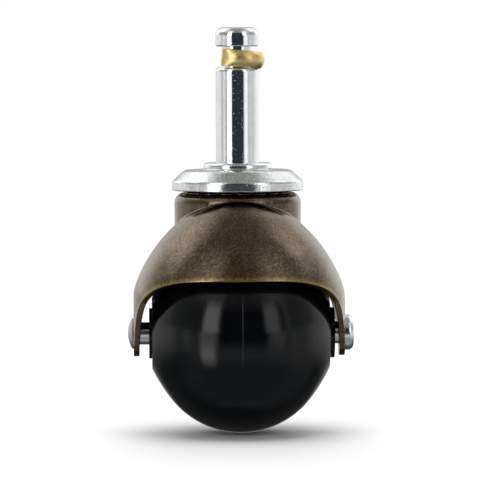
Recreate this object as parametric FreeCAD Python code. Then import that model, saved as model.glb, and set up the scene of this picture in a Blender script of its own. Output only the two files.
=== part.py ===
# Hooded ball castor with a grip-ring stem. Sizes are in millimetres.
# The origin is on the stem's axis, at the upper face of its collar, where the furniture leg rests.
# +Z points up along the stem, the axle lies along X, and the wheel stands forward, towards -Y.

import FreeCAD
import Part

import math
import os

# Stem: one cold-headed pin
STEM_DIAMETER = 11.11
SHANK_LENGTH = 24.6
HEAD_HEIGHT = 5.0
HEAD_ROUNDING = 2.1
NECK_DIAMETER = 7.8
HEAD_EDGE = 0.35
SHANK_EDGE = 1.0
COLLAR_DIAMETER = 17.6
COLLAR_THICKNESS = 2.1
SPINDLE_DIAMETER = 8.0
CLENCH_DIAMETER = 12.0
CLENCH_HEIGHT = 1.7

# Grip ring: a split ring of round-edged strip, loose on the neck
RING_HEIGHT = 4.4
RING_THICKNESS = 1.4
RING_CROWN = 0.1
RING_EDGE = 0.25
RING_OPENING = 77.0
RING_TIP = 5.2
RING_REST_SHARE = 0.75
RING_SIDE_PLAY = 0.9
RING_LENGTH_PLAY = 1.0

# Bearing: cap, balls and retaining washer
CAP_DIAMETER = 33.9
CAP_FLAT_DIAMETER = 27.2
CAP_SHEET = 1.8
CAP_BEND = 2.2
CAP_SHOULDER = 0.7
CAP_EDGE = 0.3
CAP_LIFT = 0.32
BALL_DIAMETER = 3.97
BALL_SPACING = 0.3
RACE_DEPTH = 0.45
WASHER_DIAMETER = 18.0
WASHER_THICKNESS = 1.6

# Wheel: one moulding, a ball with flattened sides
WHEEL_DIAMETER = 51.4
WHEEL_WIDTH = 45.6
CROWN_RADIUS = 22.7
FLANK_ANGLE = 38.0
FLANK_RADIUS = 45.0
FLANK_EDGE = 0.5
BOSS_DIAMETER = 13.0
BOSS_LEFT = 0.75
BOSS_RIGHT = 1.25
WHEEL_SHIFT = 0.4
SEAM_WIDTH = 0.4
SEAM_HEIGHT = 0.07

# Axle: one riveted pin
AXLE_DIAMETER = 5.8
TENON_DIAMETER = 4.6
CLENCHED_HEAD_DIAMETER = 7.9
CLENCHED_HEAD_HEIGHT = 1.5
CLENCHED_HEAD_EDGE = 0.4
PAN_HEAD_DIAMETER = 9.1
PAN_HEAD_HEIGHT = 2.4
PAN_HEAD_ROUNDING = 1.6

# Hood: one sheet pressing of dome, turret and ears
HOOD_SHEET = 1.5
TURRET_DIAMETER = 32.8
TURRET_ROUNDING = 2.8
TRAIL = 9.1
WHEEL_ROOM = 8.75
EAR_FLAT_DEPTH = 0.4
DOME_CENTRE_HEIGHT = -0.4
DOME_CREST = 0.63
DOME_TIP = 4.0
SKIRT_RISE = 7.6
SKIRT_TUCK = 1.4
RIM_HEIGHT = 14.65
RIM_SWEEP = 20.0
EAR_RADIUS = 5.9
RIM_EDGE = 0.25
CREASE_BLEND = 0.45

# Clearances
PRESS_CLEARANCE = 0.02
RUNNING_CLEARANCE = 0.08
BALL_CLEARANCE = 0.1
RING_CLEARANCE = 0.1
THRUST_CLEARANCE = 0.15
SIDE_CLEARANCE = 1.15

# Heights along the stem, from its head down to its clenched end
stem_radius = STEM_DIAMETER / 2
neck_radius = NECK_DIAMETER / 2
spindle_radius = SPINDLE_DIAMETER / 2
groove_height = RING_HEIGHT + RING_LENGTH_PLAY
head_base = SHANK_LENGTH + groove_height
stem_top = head_base + HEAD_HEIGHT
cap_top = -COLLAR_THICKNESS
cap_ceiling = cap_top - CAP_SHEET

# The balls run in the corner between the cap's flat ceiling and its 45 degree flare
ball_room = BALL_DIAMETER / 2 + BALL_CLEARANCE
cap_corner = CAP_FLAT_DIAMETER / 2 - CAP_SHEET * math.tan(math.radians(22.5))
race_radius = cap_corner - ball_room * math.tan(math.radians(22.5))
ball_height = cap_ceiling - ball_room
ball_count = int(2 * math.pi * race_radius / (BALL_DIAMETER + BALL_SPACING))
roof_top = ball_height - ball_room + RACE_DEPTH
cap_base = roof_top + CAP_LIFT
roof_under = roof_top - HOOD_SHEET
washer_top = roof_under - THRUST_CLEARANCE
washer_base = washer_top - WASHER_THICKNESS
stem_base = washer_base - CLENCH_HEIGHT

# Wheel and axle
wheel_radius = WHEEL_DIAMETER / 2
half_width = WHEEL_WIDTH / 2
axle_radius = AXLE_DIAMETER / 2
axle_y = -TRAIL
axle_z = roof_under - WHEEL_ROOM - wheel_radius
axle_centre = FreeCAD.Vector(0, axle_y, axle_z)
x_axis = FreeCAD.Vector(1, 0, 0)
y_axis = FreeCAD.Vector(0, 1, 0)
z_axis = FreeCAD.Vector(0, 0, 1)
origin = FreeCAD.Vector(0, 0, 0)

# The ears stand clear of the wheel's longer boss
ear_inner = half_width + BOSS_RIGHT + WHEEL_SHIFT + SIDE_CLEARANCE
ear_outer = ear_inner + HOOD_SHEET
skirt_radius = ear_outer + EAR_FLAT_DEPTH


def closed_face(start, steps, place):
    """A flat face from an outline: a step is an end point, or a point passed through and an end."""
    edges = []
    here = start
    for step in list(steps) + [start]:
        if isinstance(step[0], tuple):
            through, end = step
            edges.append(Part.Arc(place(here), place(through), place(end)).toShape())
        else:
            end = step
            edges.append(Part.makeLine(place(here), place(end)))
        here = end
    return Part.Face(Part.Wire(edges))


def on_circle(centre, radius, degrees):
    angle = math.radians(degrees)
    return (centre[0] + radius * math.cos(angle), centre[1] + radius * math.sin(angle))


def arc(centre, radius, first, last):
    """An arc step about a centre, from one direction to another, in degrees."""
    return (on_circle(centre, radius, (first + last) / 2), on_circle(centre, radius, last))


def button(radius, base, crest):
    """An arc step for a shallow round head: from its edge to its crest on the axis."""
    height = abs(crest - base)
    sphere = (radius**2 + height**2) / (2 * height)
    down = 1 if crest < base else -1
    half_angle = math.asin(radius / sphere) / 2
    drop = sphere * (1 - math.cos(half_angle))
    return ((sphere * math.sin(half_angle), crest + down * drop), (0, crest))


def stem_place(point):
    return FreeCAD.Vector(point[0], 0, point[1])


def axle_place(point):
    return FreeCAD.Vector(point[0], axle_y, axle_z + point[1])


def turned_on_stem(start, *steps):
    return closed_face(start, steps, stem_place).revolve(origin, z_axis, 360)


def turned_on_axle(start, *steps):
    return closed_face(start, steps, axle_place).revolve(axle_centre, x_axis, 360)


def build_stem():
    collar_radius = COLLAR_DIAMETER / 2
    collar_half = COLLAR_THICKNESS / 2
    clench_radius = CLENCH_DIAMETER / 2
    return turned_on_stem(
        (0, stem_top),
        (stem_radius - HEAD_ROUNDING, stem_top),
        arc((stem_radius - HEAD_ROUNDING, stem_top - HEAD_ROUNDING), HEAD_ROUNDING, 90, 0),
        (stem_radius, head_base + HEAD_EDGE),
        arc((stem_radius - HEAD_EDGE, head_base + HEAD_EDGE), HEAD_EDGE, 0, -90),
        (neck_radius, head_base),
        (neck_radius, SHANK_LENGTH),
        (stem_radius - SHANK_EDGE, SHANK_LENGTH),
        arc((stem_radius - SHANK_EDGE, SHANK_LENGTH - SHANK_EDGE), SHANK_EDGE, 90, 0),
        (stem_radius, 0),
        (collar_radius - collar_half, 0),
        arc((collar_radius - collar_half, -collar_half), collar_half, 90, -90),
        (spindle_radius, cap_top),
        (spindle_radius, washer_base),
        (clench_radius, washer_base),
        button(clench_radius, washer_base, stem_base),
    )


def build_grip_ring():
    inner = neck_radius + RING_SIDE_PLAY
    crest = inner + RING_THICKNESS
    outer = crest - RING_CROWN
    half = RING_HEIGHT / 2
    bend = RING_EDGE
    face = closed_face(
        (inner, -half),
        [
            (outer - bend, -half),
            arc((outer - bend, bend - half), bend, -90, 0),
            ((crest, 0), (outer, half - bend)),
            arc((outer - bend, half - bend), bend, 0, 90),
            (inner, half),
        ],
        stem_place,
    )
    half_opening = RING_OPENING / 2
    face.rotate(origin, z_axis, half_opening - 180)
    ring = face.revolve(origin, z_axis, 360 - RING_OPENING)
    # The ring tips in its groove, and lies over to one side with both ends near the neck
    tip = math.radians(RING_TIP)
    across = inner * math.sin(math.radians(half_opening))
    along = inner * math.cos(math.radians(half_opening)) - half * math.sin(tip)
    shift = along - math.sqrt((neck_radius + RING_CLEARANCE) ** 2 - across**2)
    # It rests on the shank's rounded edge, and its low side hangs past it
    rest_radius = stem_radius - RING_REST_SHARE * SHANK_EDGE
    over_shank = min(inner, (rest_radius**2 - shift**2 - inner**2) / (2 * shift))
    height = half * math.cos(tip) + over_shank * math.sin(tip) + RING_CLEARANCE
    ring.rotate(origin, y_axis, RING_TIP)
    ring.translate(FreeCAD.Vector(shift, 0, SHANK_LENGTH + height))
    return ring


def build_bearing_cap():
    bore = spindle_radius + PRESS_CLEARANCE
    flat = CAP_FLAT_DIAMETER / 2
    rim = CAP_DIAMETER / 2
    flare_base = cap_top - (rim - flat)
    inner_rim = cap_corner + cap_ceiling - cap_base
    bend_start = flat - CAP_BEND * math.tan(math.radians(22.5))
    shoulder = (rim - CAP_SHOULDER, flare_base - CAP_SHOULDER * math.tan(math.radians(22.5)))
    return turned_on_stem(
        (bore, cap_top),
        (bend_start, cap_top),
        arc((bend_start, cap_top - CAP_BEND), CAP_BEND, 90, 45),
        on_circle(shoulder, CAP_SHOULDER, 45),
        arc(shoulder, CAP_SHOULDER, 45, 0),
        (rim, cap_base + CAP_EDGE),
        arc((rim - CAP_EDGE, cap_base + CAP_EDGE), CAP_EDGE, 0, -90),
        (min(inner_rim, rim - 1.1 * CAP_EDGE), cap_base),
        (cap_corner, cap_ceiling),
        (bore, cap_ceiling),
    )


def build_bearing_ball(number):
    angle = 2 * math.pi * number / ball_count
    centre = FreeCAD.Vector(race_radius * math.cos(angle), race_radius * math.sin(angle), ball_height)
    return Part.makeSphere(BALL_DIAMETER / 2, centre)


def build_retaining_washer():
    bore = spindle_radius + PRESS_CLEARANCE
    rim = WASHER_DIAMETER / 2
    return turned_on_stem(
        (bore, washer_top),
        (rim, washer_top),
        (rim, washer_base),
        (bore, washer_base),
    )


def build_ball_wheel():
    bore = axle_radius + RUNNING_CLEARANCE
    boss = BOSS_DIAMETER / 2
    centre = (0, wheel_radius - CROWN_RADIUS)
    tangent = on_circle(centre, CROWN_RADIUS, FLANK_ANGLE)
    flank_centre = on_circle(tangent, FLANK_RADIUS, FLANK_ANGLE + 180)
    edge_angle = math.degrees(math.acos((half_width - flank_centre[0]) / FLANK_RADIUS))
    flat = on_circle(flank_centre, FLANK_RADIUS, edge_angle)[1]
    flank_middle = on_circle(flank_centre, FLANK_RADIUS, (FLANK_ANGLE + edge_angle) / 2)
    seam_half = SEAM_WIDTH / 2
    seam_foot = centre[1] + math.sqrt(CROWN_RADIUS**2 - seam_half**2)
    seam_angle = math.degrees(math.asin(seam_half / CROWN_RADIUS))
    left_tangent = (-tangent[0], tangent[1])
    left_start = (-seam_half, seam_foot)
    face = closed_face(
        (-half_width - BOSS_LEFT, bore),
        [
            (-half_width - BOSS_LEFT, boss),
            (-half_width, boss),
            (-half_width, flat),
            ((-flank_middle[0], flank_middle[1]), left_tangent),
            (on_circle(centre, CROWN_RADIUS, 180 - (FLANK_ANGLE + 90 - seam_angle) / 2), left_start),
            ((0, wheel_radius + SEAM_HEIGHT), (seam_half, seam_foot)),
            (on_circle(centre, CROWN_RADIUS, (FLANK_ANGLE + 90 - seam_angle) / 2), tangent),
            (flank_middle, (half_width, flat)),
            (half_width, boss),
            (half_width + BOSS_RIGHT, boss),
            (half_width + BOSS_RIGHT, bore),
        ],
        axle_place,
    )
    wheel = face.revolve(axle_centre, x_axis, 360)
    corners = [
        edge
        for edge in wheel.Edges
        if edge.Curve.TypeId == "Part::GeomCircle"
        and abs(edge.Curve.Radius - flat) < 0.01
        and abs(abs(edge.Curve.Center.x) - half_width) < 0.01
    ]
    wheel = wheel.makeFillet(FLANK_EDGE, corners)
    wheel.translate(FreeCAD.Vector(WHEEL_SHIFT, 0, 0))
    return wheel


def build_axle():
    tenon = TENON_DIAMETER / 2
    clenched = CLENCHED_HEAD_DIAMETER / 2
    pan = PAN_HEAD_DIAMETER / 2
    pan_end = ear_outer + PAN_HEAD_HEIGHT
    rounding = PAN_HEAD_ROUNDING
    crest = -ear_outer - CLENCHED_HEAD_HEIGHT
    brim = -ear_outer - CLENCHED_HEAD_EDGE
    through, _ = button(clenched, brim, crest)
    return turned_on_axle(
        (crest, 0),
        ((through[1], through[0]), (brim, clenched)),
        (-ear_outer, clenched),
        (-ear_outer, tenon),
        (-ear_inner, tenon),
        (-ear_inner, axle_radius),
        (ear_outer, axle_radius),
        (ear_outer, pan),
        (pan_end - rounding, pan),
        arc((pan_end - rounding, pan - rounding), rounding, 90, 0),
        (pan_end, 0),
    )


def dome_solid(inset):
    """The dome and its skirt, turned about the upright through the wheel, set in by a thickness."""
    # The dome's arc leans over the axis, and a second arc tucks it in to meet the upright skirt
    rise = roof_top + DOME_CREST - axle_z - DOME_CENTRE_HEIGHT
    tucked = skirt_radius + SKIRT_TUCK
    lean = (rise**2 - tucked**2) / (2 * tucked)
    dome_radius = tucked + lean
    blend_radius = dome_radius - SKIRT_TUCK / 2 - SKIRT_RISE**2 / (2 * SKIRT_TUCK)
    dome_centre = (-lean, DOME_CENTRE_HEIGHT)
    blend_centre = (skirt_radius - blend_radius, DOME_CENTRE_HEIGHT + SKIRT_RISE)
    joint_angle = math.degrees(math.atan2(SKIRT_RISE, blend_centre[0] + lean))
    dome = dome_radius - inset
    blend = blend_radius - inset
    tip_angle = math.degrees(math.acos((lean + DOME_TIP) / dome))
    tip = on_circle(dome_centre, dome, tip_angle)
    start = on_circle(blend_centre, blend, 0)
    base = -2 * EAR_RADIUS
    face = closed_face(
        (0, base),
        [
            (start[0], base),
            start,
            arc(blend_centre, blend, 0, joint_angle),
            arc(dome_centre, dome, joint_angle, tip_angle),
            (0, tip[1]),
        ],
        axle_place,
    )
    solid = face.revolve(axle_centre, z_axis, 360)
    # The sides are pressed flat where the axle's heads bear
    flat = ear_outer - inset
    far = 2 * skirt_radius
    corner = FreeCAD.Vector(-flat, axle_y - far, axle_z - far)
    return solid.common(Part.makeBox(2 * flat, 2 * far, 2 * far + rise, corner))


def turret_solid(inset):
    radius = TURRET_DIAMETER / 2 - inset
    rounding = TURRET_ROUNDING - inset
    top = roof_top - inset
    base = axle_z + RIM_HEIGHT
    return turned_on_stem(
        (0, base),
        (radius, base),
        (radius, top - rounding),
        arc((radius - rounding, top - rounding), rounding, 0, 90),
        (0, top),
    )


def rim_keep():
    """What stays above the hood's lower edge, seen from the side: level rim, two sweeps, an ear."""
    far = 2 * skirt_radius
    drop = RIM_SWEEP - RIM_HEIGHT
    spread = math.sqrt((RIM_SWEEP + EAR_RADIUS) ** 2 - drop**2)
    angle = math.degrees(math.atan2(drop, spread))
    front = (-spread, -drop)
    back = (spread, -drop)
    return closed_face(
        (-far, far),
        [
            (-far, RIM_HEIGHT),
            (-spread, RIM_HEIGHT),
            arc(front, RIM_SWEEP, 90, angle),
            arc((0, 0), EAR_RADIUS, 180 + angle, 360 - angle),
            arc(back, RIM_SWEEP, 180 - angle, 90),
            (far, RIM_HEIGHT),
            (far, far),
        ],
        lambda point: FreeCAD.Vector(-far, axle_y + point[0], axle_z + point[1]),
    ).extrude(FreeCAD.Vector(2 * far, 0, 0))


def lies_on(edge, surface):
    """True where an edge runs along a solid's surface."""
    span = edge.LastParameter - edge.FirstParameter
    points = [edge.valueAt(edge.FirstParameter + span * share) for share in (0.2, 0.5, 0.8)]
    return all(surface.distToShape(Part.Vertex(point))[0] < 0.001 for point in points)


def rounded(solid, radius, edges):
    """Rounds edges by a radius, or by less where neighbouring edges leave no room for it."""
    for share in (1.0, 0.8, 0.6, 0.4):
        try:
            result = solid.makeFillet(radius * share, edges)
        except Part.OCCError:
            continue
        if result.isValid():
            return result.Solids[0]
    return solid


def build_hood():
    dome = dome_solid(0)
    turret = turret_solid(0)
    outer = dome.fuse(turret).removeSplitter().Solids[0]
    crease = [e for e in outer.Edges if lies_on(e, dome.Shells[0]) and lies_on(e, turret.Shells[0])]
    outer = rounded(outer, CREASE_BLEND, crease)
    inner_dome = dome_solid(HOOD_SHEET)
    inner = inner_dome.fuse(turret_solid(HOOD_SHEET)).removeSplitter()
    keep = rim_keep()
    hood = outer.cut(inner).common(keep).Solids[0]
    rim = [e for e in hood.Edges if lies_on(e, keep.Shells[0])]
    hood = rounded(hood, RIM_EDGE, [e for e in rim if lies_on(e, dome.Shells[0])])
    rim = [e for e in hood.Edges if lies_on(e, keep.Shells[0])]
    hood = rounded(hood, RIM_EDGE, [e for e in rim if lies_on(e, inner_dome.Shells[0])])
    race = Part.makeTorus(race_radius, ball_room, FreeCAD.Vector(0, 0, ball_height))
    pivot_radius = spindle_radius + RUNNING_CLEARANCE
    pivot_base = FreeCAD.Vector(0, 0, roof_under - HOOD_SHEET)
    pivot = Part.makeCylinder(pivot_radius, 3 * HOOD_SHEET, pivot_base)
    axle_bore = axle_radius + PRESS_CLEARANCE
    tenon_bore = TENON_DIAMETER / 2 + PRESS_CLEARANCE
    right_bore = Part.makeCylinder(axle_bore, 2 * skirt_radius, axle_centre, x_axis)
    left_bore = Part.makeCylinder(tenon_bore, 2 * skirt_radius, axle_centre, x_axis.negative())
    return hood.cut(race).cut(pivot).cut(right_bore).cut(left_bore).Solids[0]


parts = {
    "stem": build_stem(),
    "grip_ring": build_grip_ring(),
    "bearing_cap": build_bearing_cap(),
    "retaining_washer": build_retaining_washer(),
    "hood": build_hood(),
    "axle": build_axle(),
    "ball_wheel": build_ball_wheel(),
}
for number in range(ball_count):
    parts["bearing_ball_%02d" % (number + 1)] = build_bearing_ball(number)

os.makedirs("parts", exist_ok=True)
for name, shape in parts.items():
    shape.exportStep("parts/%s.step" % name)
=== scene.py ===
import math

import bmesh
import bpy
from mathutils import Matrix, Vector


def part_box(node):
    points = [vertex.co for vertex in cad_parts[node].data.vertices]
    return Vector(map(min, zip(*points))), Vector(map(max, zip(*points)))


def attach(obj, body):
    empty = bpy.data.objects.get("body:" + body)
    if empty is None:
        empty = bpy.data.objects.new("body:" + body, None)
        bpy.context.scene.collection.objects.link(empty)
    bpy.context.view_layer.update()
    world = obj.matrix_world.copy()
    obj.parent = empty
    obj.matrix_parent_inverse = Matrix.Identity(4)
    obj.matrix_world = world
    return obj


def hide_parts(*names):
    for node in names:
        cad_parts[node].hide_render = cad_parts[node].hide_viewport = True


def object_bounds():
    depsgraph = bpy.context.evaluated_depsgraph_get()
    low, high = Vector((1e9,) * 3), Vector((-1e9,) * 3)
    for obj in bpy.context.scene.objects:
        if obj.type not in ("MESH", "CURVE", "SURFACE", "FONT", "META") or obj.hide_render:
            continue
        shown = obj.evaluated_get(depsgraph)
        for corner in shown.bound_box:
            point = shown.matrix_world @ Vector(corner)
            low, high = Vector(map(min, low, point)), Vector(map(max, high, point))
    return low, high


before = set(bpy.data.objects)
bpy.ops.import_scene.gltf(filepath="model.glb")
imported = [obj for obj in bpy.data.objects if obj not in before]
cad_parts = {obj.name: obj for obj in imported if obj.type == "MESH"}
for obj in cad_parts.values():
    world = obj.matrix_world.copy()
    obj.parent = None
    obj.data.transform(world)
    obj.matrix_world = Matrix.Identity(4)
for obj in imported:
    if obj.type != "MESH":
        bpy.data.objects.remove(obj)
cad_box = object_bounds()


# Stem: a cold-headed steel pin, tumbled bright and zinc plated. Its collar bears under the
# furniture leg, and its spindle runs down through the bearing and is riveted over inside the hood.
ZINC_DULL = (0.79, 0.81, 0.835, 1)
ZINC_BRIGHT = (0.90, 0.905, 0.91, 1)
STEM_CLOUD = 0.0035
STEM_CRYSTAL = 0.00029
STEM_LINE_RUN = (0.0005, 0.0005, 0.012)
STEM_ROUGHNESS = (0.01, 0.11)
STEM_PIT_DEPTH = 1.3
STEM_LINE_DEPTH = 0.5
STEM_RELIEF = 0.000016


def add(tree, kind, **values):
    node = tree.nodes.new(kind)
    for name, value in values.items():
        setattr(node, name, value)
    return node


def plug(tree, socket, source):
    if isinstance(source, bpy.types.NodeSocket):
        tree.links.new(source, socket)
    else:
        socket.default_value = source


def feed(tree, node, **sources):
    for name, source in sources.items():
        plug(tree, node.inputs[name.replace("_", " ")], source)
    return node


def maths(tree, operation, *sources):
    node = add(tree, "ShaderNodeMath", operation=operation)
    for socket, source in zip(node.inputs, sources):
        plug(tree, socket, source)
    return node.outputs[0]


def ranged(tree, source, span, ends, smooth=False):
    node = add(tree, "ShaderNodeMapRange", clamp=True)
    node.interpolation_type = "SMOOTHSTEP" if smooth else "LINEAR"
    feed(tree, node, Value=source, From_Min=span[0], From_Max=span[1])
    feed(tree, node, To_Min=ends[0], To_Max=ends[1])
    return node.outputs[0]


def blended(tree, factor, first, second):
    node = add(tree, "ShaderNodeMix", data_type="RGBA")
    colours = [socket for socket in node.inputs if socket.type == "RGBA"]
    for socket, source in zip((node.inputs[0], *colours), (factor, first, second)):
        plug(tree, socket, source)
    return next(socket for socket in node.outputs if socket.type == "RGBA")


def finish_for(name):
    finish = bpy.data.materials.new(name)
    finish.use_nodes = True
    tree = finish.node_tree
    shader = next(n for n in tree.nodes if n.type == "BSDF_PRINCIPLED")
    place = add(tree, "ShaderNodeTexCoord").outputs["Object"]
    return finish, tree, shader, place


def surfaced(tree, shader, colour, dull, relief, strength, depth, metallic=1.0):
    bump = add(tree, "ShaderNodeBump")
    feed(tree, bump, Height=relief, Strength=strength, Distance=depth)
    feed(tree, shader, Base_Color=colour, Roughness=dull, Metallic=metallic)
    feed(tree, shader, Normal=bump.outputs[0])


def dress(node_name, finish):
    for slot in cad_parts[node_name].material_slots:
        slot.material = finish


def shared_effect(name, inputs, outputs):
    tree = bpy.data.node_groups.new(name, "ShaderNodeTree")
    for label, kind, value in inputs:
        socket = tree.interface.new_socket(label, in_out="INPUT", socket_type=kind)
        if value is not None:
            socket.default_value = value
    for label in outputs:
        tree.interface.new_socket(label, in_out="OUTPUT", socket_type="NodeSocketFloat")
    return tree, add(tree, "NodeGroupInput").outputs, add(tree, "NodeGroupOutput").inputs


def placed(tree, group, **sources):
    node = add(tree, "ShaderNodeGroup")
    node.node_tree = group
    return feed(tree, node, **sources).outputs


# Plating is a skin of fine crystals: soft clouds of duller metal, with small pits between them.
NONE_TO_ALL = (0.0, 1.0)
ALL_TO_NONE = (1.0, 0.0)
CLOUD_SPAN = (0.3, 0.7)
PITS_PER_CRYSTAL = 0.45
PIT_EDGE = (0.12, 0.20)
plating_grain, given, gives = shared_effect(
    "plating_grain",
    [
        ("Place", "NodeSocketVector", None),
        ("Cloud size", "NodeSocketFloat", 0.002),
        ("Crystal size", "NodeSocketFloat", 0.0003),
    ],
    ["Cloud", "Crystal", "Pit"],
)
cloud = feed(
    plating_grain,
    add(plating_grain, "ShaderNodeTexNoise"),
    Vector=given["Place"],
    Scale=maths(plating_grain, "DIVIDE", 1.0, given["Cloud size"]),
    Detail=3.0,
    Roughness=0.6,
)
cloud = ranged(plating_grain, cloud.outputs[0], CLOUD_SPAN, NONE_TO_ALL)
fine = maths(plating_grain, "DIVIDE", 1.0, given["Crystal size"])
crystal = feed(
    plating_grain,
    add(plating_grain, "ShaderNodeTexNoise"),
    Vector=given["Place"],
    Scale=fine,
    Detail=2.0,
    Roughness=0.7,
)
pit = feed(
    plating_grain,
    add(plating_grain, "ShaderNodeTexVoronoi"),
    Vector=given["Place"],
    Scale=maths(plating_grain, "MULTIPLY", fine, PITS_PER_CRYSTAL),
)
pit = ranged(plating_grain, pit.outputs["Distance"], PIT_EDGE, ALL_TO_NONE)
plating_grain.links.new(cloud, gives["Cloud"])
plating_grain.links.new(crystal.outputs[0], gives["Crystal"])
plating_grain.links.new(pit, gives["Pit"])

# Drawing and tumbling leave faint lines that run one way.
drawn_lines, given, gives = shared_effect(
    "drawn_lines",
    [
        ("Place", "NodeSocketVector", None),
        ("Run", "NodeSocketVector", (1.0, 1.0, 1.0)),
    ],
    ["Line"],
)
stretched = add(drawn_lines, "ShaderNodeVectorMath", operation="DIVIDE")
drawn_lines.links.new(given["Place"], stretched.inputs[0])
drawn_lines.links.new(given["Run"], stretched.inputs[1])
lines = feed(
    drawn_lines,
    add(drawn_lines, "ShaderNodeTexNoise"),
    Vector=stretched.outputs[0],
    Scale=1.0,
    Detail=2.0,
    Roughness=0.55,
)
drawn_lines.links.new(lines.outputs[0], gives["Line"])

bright_zinc, tree, shader, place = finish_for("bright_zinc")
grain = placed(
    tree, plating_grain, Place=place, Cloud_size=STEM_CLOUD, Crystal_size=STEM_CRYSTAL
)
lines = placed(tree, drawn_lines, Place=place, Run=STEM_LINE_RUN)
colour = blended(tree, grain["Cloud"], ZINC_DULL, ZINC_BRIGHT)
dull = ranged(tree, grain["Crystal"], NONE_TO_ALL, STEM_ROUGHNESS)
relief = maths(tree, "MULTIPLY_ADD", grain["Pit"], -STEM_PIT_DEPTH, grain["Crystal"])
relief = maths(tree, "MULTIPLY_ADD", lines["Line"], STEM_LINE_DEPTH, relief)
surfaced(tree, shader, colour, dull, relief, strength=0.5, depth=STEM_RELIEF)
dress("stem", bright_zinc)


# Grip ring: a strip of half-hard brass, rolled round and left open so that it springs. It lies
# loose in the neck of the stem, tipped to one side, and grips the socket in the furniture leg.
# Rolling has bowed its outer face, which runs out flat at the two ends.
RING_BORE = 0.0048
RING_CREST = 0.0062
RING_BOW = 0.0009
RING_HALF_HEIGHT = 0.0022
RING_EDGE = 0.00025
RING_EDGE_STEPS = 5
RING_EDGE_MOVED = 0.75
RING_OPENING = math.radians(77.0)
RING_BOWED_TO = math.radians(100.0)
RING_TIP = math.radians(5.2)
RING_PLACE = (0.000898, 0.0, 0.026853)
RING_SIDES = 120
BOW_STEPS = 14
BRASS_DULL = (0.74, 0.52, 0.175, 1)
BRASS_BRIGHT = (1.0, 0.80, 0.38, 1)
BRASS_PITTED = (0.10, 0.06, 0.015, 1)
PITTED_SHARE = 0.75
RING_CLOUD = 0.0016
RING_CRYSTAL = 0.0004
RING_LINE_RUN = (0.003, 0.003, 0.00022)
RING_ROUGHNESS = (0.30, 0.44)
RING_CRYSTAL_DEPTH = 0.35
RING_RELIEF = 0.00003

ring_brass, tree, shader, place = finish_for("ring_brass")
tipped = add(tree, "ShaderNodeMapping")
feed(tree, tipped, Vector=place, Rotation=(0.0, -RING_TIP, 0.0))
lines = placed(tree, drawn_lines, Place=tipped.outputs[0], Run=RING_LINE_RUN)
grain = placed(
    tree, plating_grain, Place=place, Cloud_size=RING_CLOUD, Crystal_size=RING_CRYSTAL
)
pitted = maths(tree, "MULTIPLY", grain["Pit"], PITTED_SHARE)
colour = blended(tree, lines["Line"], BRASS_DULL, BRASS_BRIGHT)
colour = blended(tree, pitted, colour, BRASS_PITTED)
dull = ranged(tree, grain["Cloud"], NONE_TO_ALL, RING_ROUGHNESS)
relief = maths(tree, "MULTIPLY_ADD", grain["Crystal"], RING_CRYSTAL_DEPTH, lines["Line"])
surfaced(tree, shader, colour, dull, relief, strength=0.5, depth=RING_RELIEF)

# A section, drawn corner by corner with a rounding for each, is carried round the stem's axis. The
# sweep turns its second axis downwards, so heights are drawn with their sign changed.
WELD = 1e-7
CREASED_FROM = math.radians(50.0)


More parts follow.
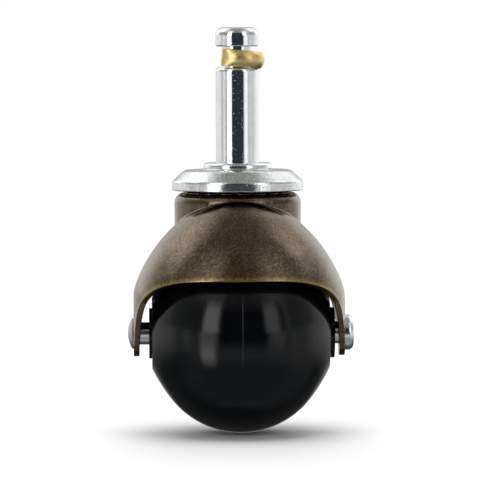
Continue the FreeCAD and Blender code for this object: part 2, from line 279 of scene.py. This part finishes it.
def turned_piece(name, corners, finish, sides, corner_steps, opening=0.0):
    bore = corners[0][0]
    section = bpy.data.curves.new(name, "CURVE")
    section.dimensions = "3D"
    outline = section.splines.new("POLY")
    outline.points.add(len(corners) - 1)
    outline.use_cyclic_u = True
    for point, (radius, height, rounding) in zip(outline.points, corners):
        point.co = (radius - bore, -height, 0.0, 1.0)
        point.radius = rounding
    drawn = bpy.data.objects.new(name, section)
    bpy.context.scene.collection.objects.link(drawn)

    turned = bpy.data.node_groups.new("turned_section", "GeometryNodeTree")
    kinds = {
        "Section": "Geometry",
        "Bore radius": "Float",
        "Start": "Float",
        "Sweep": "Float",
        "Sides": "Int",
        "Corner steps": "Int",
        "Finish": "Material",
    }
    sockets = {
        label: turned.interface.new_socket(label, in_out="INPUT", socket_type="NodeSocket" + kind)
        for label, kind in kinds.items()
    }
    turned.interface.new_socket("Piece", in_out="OUTPUT", socket_type="NodeSocketGeometry")
    given = add(turned, "NodeGroupInput").outputs
    rounded = feed(
        turned,
        add(turned, "GeometryNodeFilletCurve", mode="POLY"),
        Curve=given["Section"],
        Count=given["Corner steps"],
        Radius=add(turned, "GeometryNodeInputRadius").outputs[0],
        Limit_Radius=True,
    )
    if opening:
        track = add(turned, "GeometryNodeCurveArc", mode="RADIUS")
        feed(turned, track, Start_Angle=given["Start"], Sweep_Angle=given["Sweep"])
    else:
        track = add(turned, "GeometryNodeCurvePrimitiveCircle")
    feed(turned, track, Resolution=given["Sides"], Radius=given["Bore radius"])
    swept = feed(
        turned,
        add(turned, "GeometryNodeCurveToMesh"),
        Curve=track.outputs[0],
        Profile_Curve=rounded.outputs[0],
        Fill_Caps=True,
    )
    smooth = feed(turned, add(turned, "GeometryNodeSetShadeSmooth"), Geometry=swept.outputs[0])
    single = feed(turned, add(turned, "GeometryNodeRealizeInstances"), Geometry=smooth.outputs[0])
    coated = add(turned, "GeometryNodeSetMaterial")
    feed(turned, coated, Geometry=single.outputs[0], Material=given["Finish"])
    turned.links.new(coated.outputs[0], add(turned, "NodeGroupOutput").inputs[0])
    turning = drawn.modifiers.new("turned_section", "NODES")
    turning.node_group = turned
    values = {
        "Bore radius": bore,
        "Start": opening / 2 - math.pi,
        "Sweep": 2 * math.pi - opening,
        "Sides": sides,
        "Corner steps": corner_steps,
        "Finish": finish,
    }
    for label, value in values.items():
        turning[sockets[label].identifier] = value
    graph = bpy.context.evaluated_depsgraph_get()
    mesh = bpy.data.meshes.new_from_object(drawn.evaluated_get(graph))
    bpy.data.objects.remove(drawn)

    surface = bmesh.new()
    surface.from_mesh(mesh)
    bmesh.ops.remove_doubles(surface, verts=surface.verts, dist=WELD)
    bmesh.ops.recalc_face_normals(surface, faces=surface.faces)
    surface.to_mesh(mesh)
    surface.free()
    mesh.set_sharp_from_angle(angle=CREASED_FROM)
    piece = bpy.data.objects.new(name, mesh)
    bpy.context.scene.collection.objects.link(piece)
    piece.modifiers.new("even_faces", "WEIGHTED_NORMAL").keep_sharp = True
    return piece


bow_radius = (RING_HALF_HEIGHT**2 + RING_BOW**2) / (2 * RING_BOW)


def bow_dip(height):
    return bow_radius - math.sqrt(bow_radius**2 - height**2)


bow_heights = [RING_HALF_HEIGHT * (1 - 2 * step / BOW_STEPS) for step in range(1, BOW_STEPS)]
ring_corners = [
    (RING_BORE, RING_HALF_HEIGHT, RING_EDGE),
    (RING_CREST - RING_BOW, RING_HALF_HEIGHT, RING_EDGE),
    *((RING_CREST - bow_dip(height), height, 0.0) for height in bow_heights),
    (RING_CREST - RING_BOW, -RING_HALF_HEIGHT, RING_EDGE),
    (RING_BORE, -RING_HALF_HEIGHT, RING_EDGE),
]
ring_piece = turned_piece(
    "ring_strip", ring_corners, ring_brass, RING_SIDES, RING_EDGE_STEPS, RING_OPENING
)

# Towards the two ends the outer face, with most of its rounded edges, is moved out to the crest.
ring_end = math.pi - RING_OPENING / 2
outer_face_from = RING_CREST - RING_BOW - RING_EDGE_MOVED * RING_EDGE
for vertex in ring_piece.data.vertices:
    outward = Vector((vertex.co.x, vertex.co.y, 0.0))
    if outward.length > outer_face_from:
        angle = abs(math.atan2(outward.y, outward.x))
        share = min(1.0, max(0.0, (angle - RING_BOWED_TO) / (ring_end - RING_BOWED_TO)))
        flattened = share * share * (3 - 2 * share)
        vertex.co += outward.normalized() * bow_dip(vertex.co.z) * flattened

ring_tipped = Matrix.Rotation(RING_TIP, 4, "Y")
ring_piece.data.transform(Matrix.Translation(RING_PLACE) @ ring_tipped)
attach(ring_piece, "grip_ring")
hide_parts("grip_ring")


# Bearing cap: a dished washer pressed from steel sheet and barrel plated in zinc, which leaves it
# satin. The collar of the stem clamps it in a shallow recess, and the balls run under its sloping
# rim.
CAP_BORE = 0.00402
CAP_SHEET = 0.0018
CAP_RECESS = 0.00024
CAP_RECESS_RADIUS = 0.0091
CAP_RECESS_SLOPE = 0.0003
CAP_RECESS_FOOT = 0.00008
CAP_RECESS_LIP = 0.0002
CAP_BEND_RADIUS = 0.01375
CAP_BEND_ROUNDING = 0.0022
CAP_DROP = 0.0029
CAP_SHOULDER = 0.0011
CAP_SKIRT_LIFT = 0.00012
CAP_OUTER_EDGE = 0.0003
CAP_INNER_EDGE = 0.0001
CAP_CEILING_RADIUS = 0.01285
CAP_CEILING_ROUNDING = 0.0008
CAP_SIDES = 160
CAP_CORNER_STEPS = 8
SATIN_DULL = (0.72, 0.75, 0.735, 1)
SATIN_BRIGHT = (0.91, 0.925, 0.91, 1)
SATIN_MOTTLED = (0.50, 0.535, 0.515, 1)
MOTTLED_CRYSTALS = (0.36, 0.50)
MOTTLED_SHARE = 0.55
CAP_CLOUD = 0.0024
CAP_CRYSTAL = 0.0006
CAP_ROUGHNESS = (0.10, 0.26)
CAP_PIT_DEPTH = 0.8
CAP_RELIEF = 0.00007

satin_zinc, tree, shader, place = finish_for("satin_zinc")
grain = placed(tree, plating_grain, Place=place, Cloud_size=CAP_CLOUD, Crystal_size=CAP_CRYSTAL)
mottled = ranged(tree, grain["Crystal"], MOTTLED_CRYSTALS, (MOTTLED_SHARE, 0.0))
colour = blended(tree, grain["Cloud"], SATIN_DULL, SATIN_BRIGHT)
colour = blended(tree, mottled, colour, SATIN_MOTTLED)
dull = ranged(tree, grain["Crystal"], NONE_TO_ALL, CAP_ROUGHNESS)
relief = maths(tree, "MULTIPLY_ADD", grain["Pit"], -CAP_PIT_DEPTH, grain["Crystal"])
surfaced(tree, shader, colour, dull, relief, strength=0.5, depth=CAP_RELIEF)

cap_low, cap_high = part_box("bearing_cap")
cap_rim = min(cap_high.x, cap_high.y)
recess = cap_high.z
crest = recess + CAP_RECESS
ceiling = recess - CAP_SHEET
skirt = cap_low.z + CAP_SKIRT_LIFT
cap_corners = [
    (CAP_BORE, recess, 0.0),
    (CAP_RECESS_RADIUS, recess, CAP_RECESS_FOOT),
    (CAP_RECESS_RADIUS + CAP_RECESS_SLOPE, crest, CAP_RECESS_LIP),
    (CAP_BEND_RADIUS, crest, CAP_BEND_ROUNDING),
    (cap_rim, crest - CAP_DROP, CAP_SHOULDER),
    (cap_rim, skirt, CAP_OUTER_EDGE),
    (CAP_CEILING_RADIUS + ceiling - skirt, skirt, CAP_INNER_EDGE),
    (CAP_CEILING_RADIUS, ceiling, CAP_CEILING_ROUNDING),
    (CAP_BORE, ceiling, 0.0),
]
cap_piece = turned_piece("cap_pressing", cap_corners, satin_zinc, CAP_SIDES, CAP_CORNER_STEPS)
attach(cap_piece, "stem")
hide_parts("bearing_cap")


# Bearing balls and retaining washer: hard polished balls roll between cap and hood, and a plain
# steel washer, held by the riveted end of the spindle, keeps the hood from dropping off.
BALL_DULL = (0.50, 0.49, 0.47, 1)
BALL_BRIGHT = (0.62, 0.62, 0.61, 1)
BALL_CLOUD = 0.001
BALL_CRYSTAL = 0.0002
BALL_ROUGHNESS = (0.06, 0.16)
WASHER_DULL = (0.30, 0.285, 0.27, 1)
WASHER_BRIGHT = (0.48, 0.47, 0.45, 1)
WASHER_CLOUD = 0.003
WASHER_CRYSTAL = 0.0005
WASHER_ROUGHNESS = (0.3, 0.5)
WASHER_RELIEF = 0.00003

bearing_steel, tree, shader, place = finish_for("bearing_steel")
grain = placed(
    tree, plating_grain, Place=place, Cloud_size=BALL_CLOUD, Crystal_size=BALL_CRYSTAL
)
colour = blended(tree, grain["Cloud"], BALL_DULL, BALL_BRIGHT)
dull = ranged(tree, grain["Crystal"], NONE_TO_ALL, BALL_ROUGHNESS)
feed(tree, shader, Base_Color=colour, Roughness=dull, Metallic=1.0)
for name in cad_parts:
    if name.startswith("bearing_ball"):
        dress(name, bearing_steel)

plain_steel, tree, shader, place = finish_for("plain_steel")
grain = placed(
    tree, plating_grain, Place=place, Cloud_size=WASHER_CLOUD, Crystal_size=WASHER_CRYSTAL
)
colour = blended(tree, grain["Cloud"], WASHER_DULL, WASHER_BRIGHT)
dull = ranged(tree, grain["Crystal"], NONE_TO_ALL, WASHER_ROUGHNESS)
surfaced(tree, shader, colour, dull, grain["Crystal"], strength=0.4, depth=WASHER_RELIEF)
dress("retaining_washer", plain_steel)


# Hood: one pressing of steel sheet, brass plated, darkened to an antique brown and lacquered.
# Handling has rubbed its lower edge back to brass. Its inside is darker: own finish plus painted
# shade.
RIM_HEIGHT = 0.01465
SWEEP_RADIUS = 0.020
EAR_RADIUS = 0.0059
BROWN_DARK = (0.050, 0.033, 0.016, 1)
BROWN_LIGHT = (0.115, 0.079, 0.038, 1)
GOLD_SPECK = (0.21, 0.14, 0.060, 1)
GOLD_CRYSTALS = (0.50, 0.66)
GOLD_SHARE = 0.9
DARK_SPECK = (0.030, 0.019, 0.010, 1)
DARK_CRYSTALS = (0.32, 0.46)
DARK_SHARE = 0.75
RUBBED_BRASS = (0.40, 0.265, 0.10, 1)
RUBBED_BAND = (0.0004, 0.0021)
RUBBED_RAGGED = 0.0010
RUBBED_SHARE = 0.9
HANDLED_HEIGHTS = (0.004, 0.013)
HANDLED_SHARES = (0.15, 1.0)
INSIDE_DARK_AND_SHADE = (0.018, 0.015, 0.012, 1)
INSIDE_SHADE_FACING = (-0.85, -0.6)
HOOD_CLOUD = 0.0045
HOOD_CRYSTAL = 0.00055
RAGGED_CLOUD = 0.0009
PITTED_CRYSTAL = 0.0016
HOOD_ROUGHNESS = (0.10, 0.26)
HOOD_PIT_DEPTH = 0.5
HOOD_CLOUD_DEPTH = 0.9
HOOD_RELIEF = 0.00005
LACQUER_WEIGHT = 0.8
LACQUER_ROUGHNESS = 0.11
LACQUER_TINT = (0.8, 0.78, 0.75, 1)

antique_brass, tree, shader, place = finish_for("antique_brass")
axle_corners = [Vector(corner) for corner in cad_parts["axle"].bound_box]
axle_centre = sum(axle_corners, Vector()) / len(axle_corners)
from_axle = add(tree, "ShaderNodeVectorMath", operation="SUBTRACT")
tree.links.new(place, from_axle.inputs[0])
from_axle.inputs[1].default_value = (0.0, axle_centre.y, axle_centre.z)
apart = add(tree, "ShaderNodeSeparateXYZ")
tree.links.new(from_axle.outputs[0], apart.inputs[0])
aside = maths(tree, "ABSOLUTE", apart.outputs["Y"])

# The lower edge is a hollow sweep on each side that runs into the round of the ear, and the rubbing
# follows the distance to whichever of the two is there.
sweep_drop = SWEEP_RADIUS - RIM_HEIGHT
sweep_spread = math.sqrt((SWEEP_RADIUS + EAR_RADIUS) ** 2 - sweep_drop**2)


def reach(across, up):
    across = maths(tree, "MULTIPLY", across, across)
    up = maths(tree, "MULTIPLY", up, up)
    return maths(tree, "SQRT", maths(tree, "ADD", across, up))


from_sweep = maths(tree, "SUBTRACT", aside, sweep_spread)
over_sweep = maths(tree, "ADD", apart.outputs["Z"], sweep_drop)
above_sweep = maths(tree, "SUBTRACT", reach(from_sweep, over_sweep), SWEEP_RADIUS)
in_ear = maths(tree, "SUBTRACT", EAR_RADIUS, reach(aside, apart.outputs["Z"]))
slant = maths(tree, "MULTIPLY_ADD", aside, sweep_drop / sweep_spread, apart.outputs["Z"])
below_join = maths(tree, "LESS_THAN", slant, 0.0)
ear_instead = maths(tree, "SUBTRACT", in_ear, above_sweep)
to_edge = maths(tree, "MULTIPLY_ADD", below_join, ear_instead, above_sweep)

# What faces the axle is the inside, painted near black: its own dark finish and painted shade.
facing = add(tree, "ShaderNodeVectorMath", operation="DOT_PRODUCT")
outward = add(tree, "ShaderNodeVectorMath", operation="NORMALIZE")
tree.links.new(from_axle.outputs[0], outward.inputs[0])
tree.links.new(outward.outputs[0], facing.inputs[0])
tree.links.new(add(tree, "ShaderNodeTexCoord").outputs["Normal"], facing.inputs[1])
inside_dark_and_shade = ranged(tree, facing.outputs["Value"], INSIDE_SHADE_FACING, ALL_TO_NONE)

grain = placed(
    tree, plating_grain, Place=place, Cloud_size=HOOD_CLOUD, Crystal_size=HOOD_CRYSTAL
)
speck = placed(
    tree, plating_grain, Place=place, Cloud_size=RAGGED_CLOUD, Crystal_size=PITTED_CRYSTAL
)
gold = ranged(tree, grain["Crystal"], GOLD_CRYSTALS, (0.0, GOLD_SHARE))
dark = ranged(tree, grain["Crystal"], DARK_CRYSTALS, (DARK_SHARE, 0.0))
ragged = maths(tree, "MULTIPLY_ADD", speck["Cloud"], RUBBED_RAGGED, to_edge)
rubbed = ranged(tree, ragged, RUBBED_BAND, (RUBBED_SHARE, 0.0), smooth=True)
handled = ranged(tree, apart.outputs["Z"], HANDLED_HEIGHTS, HANDLED_SHARES)
colour = blended(tree, grain["Cloud"], BROWN_DARK, BROWN_LIGHT)
colour = blended(tree, gold, colour, GOLD_SPECK)
colour = blended(tree, dark, colour, DARK_SPECK)
colour = blended(tree, maths(tree, "MULTIPLY", rubbed, handled), colour, RUBBED_BRASS)
# Painted shade: the inside is made near black, darker than its own finish would be.
colour = blended(tree, inside_dark_and_shade, colour, INSIDE_DARK_AND_SHADE)
dull = ranged(tree, grain["Crystal"], NONE_TO_ALL, HOOD_ROUGHNESS)
relief = maths(tree, "MULTIPLY_ADD", speck["Pit"], -HOOD_PIT_DEPTH, grain["Crystal"])
relief = maths(tree, "MULTIPLY_ADD", grain["Cloud"], HOOD_CLOUD_DEPTH, relief)
surfaced(tree, shader, colour, dull, relief, strength=0.6, depth=HOOD_RELIEF)
feed(tree, shader, Coat_Weight=LACQUER_WEIGHT, Coat_Roughness=LACQUER_ROUGHNESS)
feed(tree, shader, Specular_Tint=LACQUER_TINT)
dress("hood", antique_brass)


# Axle: a zinc-plated steel rivet with a pan head on the right. Its left end is a shouldered tenon,
# clenched over a hole in the other ear, so that the wheel keeps a little side play.
AXLE_DULL = (0.82, 0.84, 0.85, 1)
AXLE_BRIGHT = (0.92, 0.93, 0.935, 1)
AXLE_PAINTED_REFLECTION = (0.56, 0.51, 0.45, 1)
CLENCHED_END_SPAN = (-0.0274, -0.0266)
CLENCHED_END_ROUGHNESS = 0.28
AXLE_CLOUD = 0.0025
AXLE_CRYSTAL = 0.0003
AXLE_LINE_RUN = (0.006, 0.0004, 0.0004)
AXLE_ROUGHNESS = (0.08, 0.24)
AXLE_LINE_DEPTH = 0.6
AXLE_RELIEF = 0.00002

axle_zinc, tree, shader, place = finish_for("axle_zinc")
grain = placed(
    tree, plating_grain, Place=place, Cloud_size=AXLE_CLOUD, Crystal_size=AXLE_CRYSTAL
)
lines = placed(tree, drawn_lines, Place=place, Run=AXLE_LINE_RUN)
apart = add(tree, "ShaderNodeSeparateXYZ")
tree.links.new(place, apart.inputs[0])
# Painted reflection: the clenched left end is tinted brownish grey for the dark hood it mirrors,
# and made rougher.
painted_reflection_end = ranged(tree, apart.outputs["X"], CLENCHED_END_SPAN, ALL_TO_NONE)
colour = blended(tree, grain["Cloud"], AXLE_DULL, AXLE_BRIGHT)
colour = blended(tree, painted_reflection_end, colour, AXLE_PAINTED_REFLECTION)
dull = ranged(tree, grain["Crystal"], NONE_TO_ALL, AXLE_ROUGHNESS)
dull = maths(tree, "MULTIPLY_ADD", painted_reflection_end, CLENCHED_END_ROUGHNESS, dull)
relief = maths(tree, "MULTIPLY_ADD", lines["Line"], AXLE_LINE_DEPTH, grain["Crystal"])
surfaced(tree, shader, colour, dull, relief, strength=0.4, depth=AXLE_RELIEF)
dress("axle", axle_zinc)


# Ball wheel: one solid moulding of hard black plastic, glossy from its mould, with a fine parting
# line round its middle. A boss on each flank keeps it clear of the ears, and it turns on the axle.
BLACK_DEEP = (0.0012, 0.0016, 0.0022, 1)
BLACK_PALE = (0.0022, 0.0028, 0.0036, 1)
WHEEL_CLOUD = 0.004
WHEEL_CRYSTAL = 0.0005
WHEEL_ROUGHNESS = (0.02, 0.12)
WHEEL_IOR = 1.33
WHEEL_RELIEF = 0.00004

black_moulding, tree, shader, place = finish_for("black_moulding")
grain = placed(
    tree, plating_grain, Place=place, Cloud_size=WHEEL_CLOUD, Crystal_size=WHEEL_CRYSTAL
)
fleck = grain["Crystal"]
colour = blended(tree, grain["Cloud"], BLACK_DEEP, BLACK_PALE)
dull = ranged(tree, fleck, NONE_TO_ALL, WHEEL_ROUGHNESS)
surfaced(tree, shader, colour, dull, fleck, strength=0.4, depth=WHEEL_RELIEF, metallic=0.0)
feed(tree, shader, IOR=WHEEL_IOR)
dress("ball_wheel", black_moulding)


# Floor: a plain white sheet of matt paper, laid flat under the wheel. It is left out of the
# reflections, in which the bright metal shows the studio instead.
FLOOR_REACH = (0.8, 0.45, 0.6)
FLOOR_WHITE = (0.92, 0.92, 0.92, 1)
FLOOR_ROUGHNESS = 0.7
FLOOR_SHEEN = 0.1

level = cad_box[0].z
side, front, back = FLOOR_REACH
floor_mesh = bpy.data.meshes.new("floor")
floor_mesh.from_pydata(
    [(-side, -front, level), (side, -front, level), (side, back, level), (-side, back, level)],
    [],
    [(0, 1, 2, 3)],
)
floor = bpy.data.objects.new("floor", floor_mesh)
bpy.context.scene.collection.objects.link(floor)
white_sheet, tree, shader, _ = finish_for("white_sheet")
feed(tree, shader, Base_Color=FLOOR_WHITE, Roughness=FLOOR_ROUGHNESS)
feed(tree, shader, Specular_IOR_Level=FLOOR_SHEEN)
floor_mesh.materials.append(white_sheet)
floor.visible_glossy = False


# Light: a white studio with a tall soft box on each side, dark behind the camera and dim overhead.
# Two wide soft lamps, one above and one behind, give the pale floor its shadow. Heights and
# bearings are in degrees, and bearing 0 is the camera's side.
WHITE = (1, 1, 1, 1)
DARK_ROOM = (0.0058, 0.0074, 0.0105)
WARM_EDGE = (0.085, 0.075, 0.062)
WARM_MIDDLE = (0.055, 0.045, 0.033)
GROUND_GREY = (0.058, 0.064, 0.070)
CEILING_GREY = (0.068, 0.068, 0.066, 1)
BOXES_RISE = (2.0, 6.0)
UPPER_RISE = (24.0, 42.0)
CEILING_RISE = (46.0, 76.0)
LOW_SINK = (-22.0, -3.0)
GROUND_SINK = (-36.0, -20.0)
MIRRORED_POWER = 4.2
DIFFUSE_POWER = 0.46
LAMP_RISES_AND_POWERS = ((89.0, 1.55), (38.0, 1.0))
LAMP_WIDTH = math.radians(40.0)

studio = bpy.data.worlds.new("studio")
studio.use_nodes = True
tree = studio.node_tree
tree.nodes.clear()
direction = add(tree, "ShaderNodeSeparateXYZ")
tree.links.new(add(tree, "ShaderNodeTexCoord").outputs["Generated"], direction.inputs[0])
forward = maths(tree, "MULTIPLY", direction.outputs["Y"], -1.0)
bearing = maths(tree, "ARCTAN2", direction.outputs["X"], forward)
turn = maths(tree, "MULTIPLY_ADD", bearing, 1 / math.tau, 0.5)
height = maths(tree, "ARCSINE", direction.outputs["Z"])
height = maths(tree, "MULTIPLY", height, math.degrees(1.0))


def round_ramp(stops):
    node = add(tree, "ShaderNodeValToRGB")
    tree.links.new(turn, node.inputs[0])
    ramp = node.color_ramp
    for index, (degrees, value) in enumerate(stops):
        spot = degrees / 360 + 0.5
        stop = ramp.elements[index] if index < 2 else ramp.elements.new(spot)
        stop.position = spot
        stop.color = (*value, 1) if isinstance(value, tuple) else (value, value, value, 1)
    return node.outputs[0]


eye_level = round_ramp([
    (-170, 0.15), (170, 0.15), (-150, 0.20), (150, 0.26), (-105, 0.20), (-89, 0.125),
    (-75, 0.21), (-62, 0.09), (-57, 0.20), (-52, 0.46), (-37, 0.46), (-29, DARK_ROOM),
    (31, DARK_ROOM), (41, 0.26), (52, 0.26), (62, 0.12), (75, 0.165), (90, 0.14), (110, 0.20),
])
boxes = round_ramp([
    (-172, 0.10), (172, 0.10), (-155, 0.25), (155, 0.25), (-140, 0.32), (140, 0.32),
    (-105, 0.09), (-60, 0.06), (-54, 0.08), (-50, 0.86), (-33, 0.86), (-29, DARK_ROOM),
    (29, DARK_ROOM), (34, 0.46), (49, 0.40), (53, 0.07), (59, 0.07), (62, 0.15), (66, 0.15),
    (70, 0.08), (105, 0.10),
])
upper = round_ramp([
    (-170, 0.16), (170, 0.16), (-150, 0.28), (150, 0.26), (-132, 0.40), (-104, 0.42),
    (-90, 0.13), (-78, 0.11), (-62, 0.19), (-44, 0.22), (-30, 0.20), (-25, WARM_EDGE),
    (0, WARM_MIDDLE), (25, WARM_EDGE), (48, 0.20), (62, 0.20), (78, 0.11), (90, 0.13),
    (104, 0.36), (132, 0.27),
])
low = round_ramp([
    (-150, 0.012), (150, 0.012), (-105, 0.022), (-80, 0.06), (-59, 0.13), (-54, 0.82),
    (-39, 0.82), (-34, 0.13), (60, 0.13), (80, 0.12), (105, 0.07), (125, 0.015),
])
ground = round_ramp([(-120, 0.014), (130, 0.014), (-75, GROUND_GREY), (90, GROUND_GREY)])
surround = eye_level
for span, ends, layer in (
    (BOXES_RISE, NONE_TO_ALL, boxes),
    (UPPER_RISE, NONE_TO_ALL, upper),
    (CEILING_RISE, NONE_TO_ALL, CEILING_GREY),
    (LOW_SINK, ALL_TO_NONE, low),
    (GROUND_SINK, ALL_TO_NONE, ground),
):
    surround = blended(tree, ranged(tree, height, span, ends, smooth=True), surround, layer)
path = add(tree, "ShaderNodeLightPath").outputs
diffuse = path["Is Diffuse Ray"]
surround = blended(tree, diffuse, surround, WHITE)
power = maths(tree, "MULTIPLY_ADD", diffuse, DIFFUSE_POWER - MIRRORED_POWER, MIRRORED_POWER)
around = feed(tree, add(tree, "ShaderNodeBackground"), Color=surround, Strength=power)
seen = feed(tree, add(tree, "ShaderNodeBackground"), Color=WHITE, Strength=1.0)
choice = add(tree, "ShaderNodeMixShader")
tree.links.new(path["Is Camera Ray"], choice.inputs[0])
tree.links.new(around.outputs[0], choice.inputs[1])
tree.links.new(seen.outputs[0], choice.inputs[2])
tree.links.new(choice.outputs[0], add(tree, "ShaderNodeOutputWorld").inputs[0])
bpy.context.scene.world = studio

for rise_from_back, lamp_power in LAMP_RISES_AND_POWERS:
    back_light = bpy.data.lights.new("back_light", "SUN")
    back_light.energy = lamp_power
    back_light.angle = LAMP_WIDTH
    back_lamp = bpy.data.objects.new("back_light", back_light)
    back_lamp.rotation_euler = (math.radians(rise_from_back - 90.0), 0.0, 0.0)
    back_lamp.visible_glossy = False
    bpy.context.scene.collection.objects.link(back_lamp)
bpy.context.scene.view_settings.view_transform = "Standard"


# Camera: a long lens from the front, a little above the collar, turned slightly to the left. The
# focal length, the horizon and the stem's place are in pixels of the picture.
PIXELS = 480
FOCAL = 3666.0
HORIZON = 47.6
STEM_AT = 237.8
SENSOR_WIDTH = 36.0
DISTANCE = 0.95
EYE_HEIGHT = 0.0297
AZIMUTH = math.radians(-1.4)
ROLL = math.radians(-0.25)

camera_data = bpy.data.cameras.new("camera")
camera_data.sensor_width = SENSOR_WIDTH
camera_data.lens = SENSOR_WIDTH * FOCAL / PIXELS
camera_data.clip_start = 0.05
camera_data.clip_end = 20.0
camera = bpy.data.objects.new("camera", camera_data)
bpy.context.scene.collection.objects.link(camera)
pitch = math.atan((PIXELS / 2 - HORIZON) / FOCAL)
pan = math.atan((STEM_AT - PIXELS / 2) / FOCAL)
eye = (math.sin(AZIMUTH) * DISTANCE, -math.cos(AZIMUTH) * DISTANCE, EYE_HEIGHT)
camera.matrix_world = (
    Matrix.Translation(eye)
    @ Matrix.Rotation(AZIMUTH + pan, 4, "Z")
    @ Matrix.Rotation(math.pi / 2 - pitch, 4, "X")
    @ Matrix.Rotation(ROLL, 4, "Z")
)
bpy.context.scene.camera = camera
